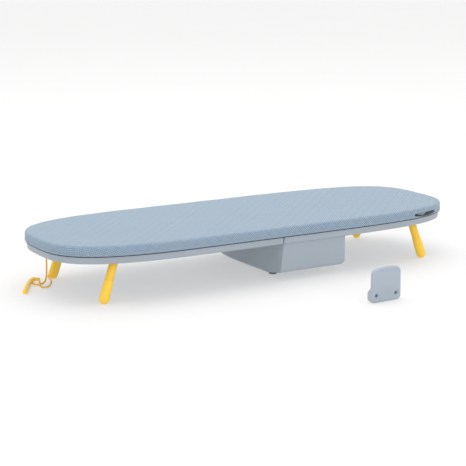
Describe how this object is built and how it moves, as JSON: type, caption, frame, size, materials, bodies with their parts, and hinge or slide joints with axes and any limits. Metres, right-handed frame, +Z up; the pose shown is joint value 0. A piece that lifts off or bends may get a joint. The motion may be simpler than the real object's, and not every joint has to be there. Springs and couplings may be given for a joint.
{
  "type": "folding table-top ironing board",
  "caption": "Low folding ironing board: two padded halves hinged at the middle, fold-away legs, a support housing under the fold, and a wall hook.",
  "frame": {"origin": "the point of the table under the middle of the fold line", "axes": "+X along the board towards the half that carries the housing, +Y away from the label side, +Z up from the table"},
  "size_m": [0.8184, 0.478, 0.1002],
  "materials": {
    "blue_grey_plastic": "fine textured moulding",
    "hook_plastic": "satin moulding",
    "galvanised_steel": "zinc plated sheet",
    "screw_steel": "zinc plated",
    "felt": "needled felt",
    "cover_fabric": "printed cotton with a fine light dot pattern",
    "label_weave": "plain dark woven tape",
    "yellow_paint": "semi-gloss powder coat",
    "yellow_rubber": "soft moulded",
    "yellow_plastic": "moulded",
    "yellow_cord": "braided cord",
    "grey_rubber": "soft moulded"
  },
  "bodies": {
    "right_half": {"right_tray": "blue_grey_plastic", "right_deck": "galvanised_steel", "right_pad": "felt", "right_cover": "cover_fabric", "right_hinge_leaves": "galvanised_steel", "right_hinge_rivets": "galvanised_steel", "right_deck_screws": "screw_steel", "right_axle_bearings": "blue_grey_plastic", "right_bearing_screws": "screw_steel", "hinge_pins": "screw_steel", "centre_housing": "blue_grey_plastic", "housing_screws": "screw_steel", "housing_feet": "grey_rubber", "cover_label": "label_weave"},
    "left_half": {"left_tray": "blue_grey_plastic", "left_deck": "galvanised_steel", "left_pad": "felt", "left_cover": "cover_fabric", "left_hinge_leaves": "galvanised_steel", "left_hinge_rivets": "galvanised_steel", "left_deck_screws": "screw_steel", "left_axle_bearings": "blue_grey_plastic", "left_bearing_screws": "screw_steel", "drawstring_eyelet": "yellow_plastic", "drawstring": "yellow_cord", "drawstring_pull": "yellow_rubber"},
    "right_legs": {"right_leg_axle": "screw_steel", "right_axle_collars": "yellow_plastic", "right_front_leg": "yellow_paint", "right_front_foot_cap": "yellow_rubber", "right_rear_leg": "yellow_paint", "right_rear_foot_cap": "yellow_rubber"},
    "left_legs": {"left_leg_axle": "screw_steel", "left_axle_collars": "yellow_plastic", "left_front_leg": "yellow_paint", "left_front_foot_cap": "yellow_rubber", "left_rear_leg": "yellow_paint", "left_rear_foot_cap": "yellow_rubber"},
    "wall_hook": {"wall_hook": "hook_plastic"}
  },
  "joints": [
    {"name": "fold", "type": "hinge", "parent": "right_half", "child": "left_half", "pos_m": [0, 0, 0.0986], "axis": [0, 1, 0], "range_deg": [0, 180]},
    {"name": "right_legs_fold", "type": "hinge", "parent": "right_half", "child": "right_legs", "pos_m": [0.3049, 0, 0.0775], "axis": [0, 1, 0], "range_deg": [0, 109]},
    {"name": "left_legs_fold", "type": "hinge", "parent": "left_half", "child": "left_legs", "pos_m": [-0.3021, 0, 0.0775], "axis": [0, -1, 0], "range_deg": [0, 109]},
    {"name": "hook_lift", "type": "slide", "parent": "right_half", "child": "wall_hook", "axis": [0, 0, 1], "range_m": [0, 0.12]}
  ]
}
